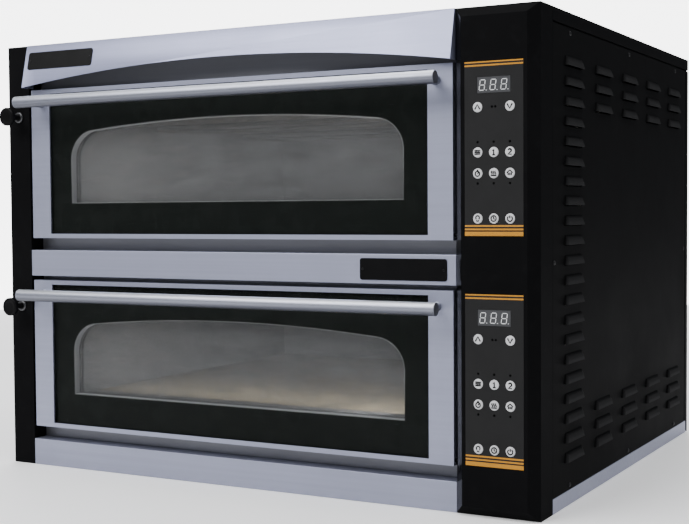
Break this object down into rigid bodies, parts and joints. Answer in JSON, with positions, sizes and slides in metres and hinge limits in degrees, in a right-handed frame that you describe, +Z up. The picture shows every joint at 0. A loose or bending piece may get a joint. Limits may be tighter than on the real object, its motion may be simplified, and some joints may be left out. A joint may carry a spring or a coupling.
{
  "type": "countertop pizza oven",
  "caption": "Double-deck electric countertop pizza oven with drop-down glazed doors, bar handles, steam vent knobs, key panels with displays and a louvred black casing.",
  "frame": {"origin": "centre of the underside, midway between the casing's outer sides and between the door plane and the rear panel", "axes": "+X to the oven's right as seen from the front, +Y towards its back, +Z up"},
  "size_m": [1.0124, 0.9273, 0.743],
  "materials": {
    "satin_steel": "satin",
    "pale_steel": "satin",
    "dark_steel": "satin",
    "chamber_steel": "satin",
    "element_steel": "matte",
    "black_paint": "matte",
    "bright_aluminium": "polished",
    "chrome": "polished",
    "black_plastic": "matte",
    "panel_overlay": "satin",
    "key_plastic": "satin",
    "display_grey": "gloss",
    "baking_stone": "matte",
    "door_glass": "gloss",
    "fibre": "matte"
  },
  "bodies": {
    "casing": {"base_pan": "satin_steel", "middle_band": "satin_steel", "front_plate": "dark_steel", "left_column": "black_paint", "right_column": "black_paint", "top_cover": "black_paint", "left_side_panel": "black_paint", "right_side_panel": "black_paint", "visor": "pale_steel", "rear_panel": "black_paint", "insulation": "fibre", "cable_gland": "black_plastic", "lower_chamber": "chamber_steel", "lower_stone": "baking_stone", "lower_roof_element": "element_steel", "lower_floor_element": "element_steel", "lower_control_panel": "panel_overlay", "lower_display_board": "display_grey", "lower_vent_bush": "chrome", "upper_chamber": "chamber_steel", "upper_stone": "baking_stone", "upper_roof_element": "element_steel", "upper_floor_element": "element_steel", "upper_control_panel": "panel_overlay", "upper_display_board": "display_grey", "upper_vent_bush": "chrome"},
    "lower_door": {"lower_door_frame": "satin_steel", "lower_door_glass": "door_glass", "lower_door_liner": "chamber_steel", "lower_door_inner_glass": "door_glass", "lower_door_handle": "bright_aluminium"},
    "lower_vent": {"lower_vent_knob": "black_plastic"},
    "lower_key_up_press": {"lower_key_up": "key_plastic"},
    "lower_key_down_press": {"lower_key_down": "key_plastic"},
    "lower_key_set_press": {"lower_key_set": "key_plastic"},
    "lower_key_preset_1_press": {"lower_key_preset_1": "key_plastic"},
    "lower_key_preset_2_press": {"lower_key_preset_2": "key_plastic"},
    "lower_key_timer_press": {"lower_key_timer": "key_plastic"},
    "lower_key_floor_heat_press": {"lower_key_floor_heat": "key_plastic"},
    "lower_key_roof_heat_press": {"lower_key_roof_heat": "key_plastic"},
    "lower_key_lamp_press": {"lower_key_lamp": "key_plastic"},
    "lower_key_clock_press": {"lower_key_clock": "key_plastic"},
    "lower_key_power_press": {"lower_key_power": "key_plastic"},
    "upper_door": {"upper_door_frame": "satin_steel", "upper_door_glass": "door_glass", "upper_door_liner": "chamber_steel", "upper_door_inner_glass": "door_glass", "upper_door_handle": "bright_aluminium"},
    "upper_vent": {"upper_vent_knob": "black_plastic"},
    "upper_key_up_press": {"upper_key_up": "key_plastic"},
    "upper_key_down_press": {"upper_key_down": "key_plastic"},
    "upper_key_set_press": {"upper_key_set": "key_plastic"},
    "upper_key_preset_1_press": {"upper_key_preset_1": "key_plastic"},
    "upper_key_preset_2_press": {"upper_key_preset_2": "key_plastic"},
    "upper_key_timer_press": {"upper_key_timer": "key_plastic"},
    "upper_key_floor_heat_press": {"upper_key_floor_heat": "key_plastic"},
    "upper_key_roof_heat_press": {"upper_key_roof_heat": "key_plastic"},
    "upper_key_lamp_press": {"upper_key_lamp": "key_plastic"},
    "upper_key_clock_press": {"upper_key_clock": "key_plastic"},
    "upper_key_power_press": {"upper_key_power": "key_plastic"}
  },
  "joints": [
    {"name": "lower_door_hinge", "type": "hinge", "parent": "casing", "child": "lower_door", "pos_m": [-0.042, -0.419, 0.0772], "axis": [1, 0, 0], "range_deg": [0, 90]},
    {"name": "lower_vent_pull", "type": "slide", "parent": "casing", "child": "lower_vent", "axis": [0, -1, 0], "range_m": [0, 0.05]},
    {"name": "lower_key_up_travel", "type": "slide", "parent": "casing", "child": "lower_key_up_press", "axis": [0, 1, 0], "range_m": [0, 0.0008], "stiffness_N_per_m": 400},
    {"name": "lower_key_down_travel", "type": "slide", "parent": "casing", "child": "lower_key_down_press", "axis": [0, 1, 0], "range_m": [0, 0.0008], "stiffness_N_per_m": 400},
    {"name": "lower_key_set_travel", "type": "slide", "parent": "casing", "child": "lower_key_set_press", "axis": [0, 1, 0], "range_m": [0, 0.0008], "stiffness_N_per_m": 400},
    {"name": "lower_key_preset_1_travel", "type": "slide", "parent": "casing", "child": "lower_key_preset_1_press", "axis": [0, 1, 0], "range_m": [0, 0.0008], "stiffness_N_per_m": 400},
    {"name": "lower_key_preset_2_travel", "type": "slide", "parent": "casing", "child": "lower_key_preset_2_press", "axis": [0, 1, 0], "range_m": [0, 0.0008], "stiffness_N_per_m": 400},
    {"name": "lower_key_timer_travel", "type": "slide", "parent": "casing", "child": "lower_key_timer_press", "axis": [0, 1, 0], "range_m": [0, 0.0008], "stiffness_N_per_m": 400},
    {"name": "lower_key_floor_heat_travel", "type": "slide", "parent": "casing", "child": "lower_key_floor_heat_press", "axis": [0, 1, 0], "range_m": [0, 0.0008], "stiffness_N_per_m": 400},
    {"name": "lower_key_roof_heat_travel", "type": "slide", "parent": "casing", "child": "lower_key_roof_heat_press", "axis": [0, 1, 0], "range_m": [0, 0.0008], "stiffness_N_per_m": 400},
    {"name": "lower_key_lamp_travel", "type": "slide", "parent": "casing", "child": "lower_key_lamp_press", "axis": [0, 1, 0], "range_m": [0, 0.0008], "stiffness_N_per_m": 400},
    {"name": "lower_key_clock_travel", "type": "slide", "parent": "casing", "child": "lower_key_clock_press", "axis": [0, 1, 0], "range_m": [0, 0.0008], "stiffness_N_per_m": 400},
    {"name": "lower_key_power_travel", "type": "slide", "parent": "casing", "child": "lower_key_power_press", "axis": [0, 1, 0], "range_m": [0, 0.0008], "stiffness_N_per_m": 400},
    {"name": "upper_door_hinge", "type": "hinge", "parent": "casing", "child": "upper_door", "pos_m": [-0.042, -0.419, 0.4122], "axis": [1, 0, 0], "range_deg": [0, 90]},
    {"name": "upper_vent_pull", "type": "slide", "parent": "casing", "child": "upper_vent", "axis": [0, -1, 0], "range_m": [0, 0.05]},
    {"name": "upper_key_up_travel", "type": "slide", "parent": "casing", "child": "upper_key_up_press", "axis": [0, 1, 0], "range_m": [0, 0.0008], "stiffness_N_per_m": 400},
    {"name": "upper_key_down_travel", "type": "slide", "parent": "casing", "child": "upper_key_down_press", "axis": [0, 1, 0], "range_m": [0, 0.0008], "stiffness_N_per_m": 400},
    {"name": "upper_key_set_travel", "type": "slide", "parent": "casing", "child": "upper_key_set_press", "axis": [0, 1, 0], "range_m": [0, 0.0008], "stiffness_N_per_m": 400},
    {"name": "upper_key_preset_1_travel", "type": "slide", "parent": "casing", "child": "upper_key_preset_1_press", "axis": [0, 1, 0], "range_m": [0, 0.0008], "stiffness_N_per_m": 400},
    {"name": "upper_key_preset_2_travel", "type": "slide", "parent": "casing", "child": "upper_key_preset_2_press", "axis": [0, 1, 0], "range_m": [0, 0.0008], "stiffness_N_per_m": 400},
    {"name": "upper_key_timer_travel", "type": "slide", "parent": "casing", "child": "upper_key_timer_press", "axis": [0, 1, 0], "range_m": [0, 0.0008], "stiffness_N_per_m": 400},
    {"name": "upper_key_floor_heat_travel", "type": "slide", "parent": "casing", "child": "upper_key_floor_heat_press", "axis": [0, 1, 0], "range_m": [0, 0.0008], "stiffness_N_per_m": 400},
    {"name": "upper_key_roof_heat_travel", "type": "slide", "parent": "casing", "child": "upper_key_roof_heat_press", "axis": [0, 1, 0], "range_m": [0, 0.0008], "stiffness_N_per_m": 400},
    {"name": "upper_key_lamp_travel", "type": "slide", "parent": "casing", "child": "upper_key_lamp_press", "axis": [0, 1, 0], "range_m": [0, 0.0008], "stiffness_N_per_m": 400},
    {"name": "upper_key_clock_travel", "type": "slide", "parent": "casing", "child": "upper_key_clock_press", "axis": [0, 1, 0], "range_m": [0, 0.0008], "stiffness_N_per_m": 400},
    {"name": "upper_key_power_travel", "type": "slide", "parent": "casing", "child": "upper_key_power_press", "axis": [0, 1, 0], "range_m": [0, 0.0008], "stiffness_N_per_m": 400}
  ]
}
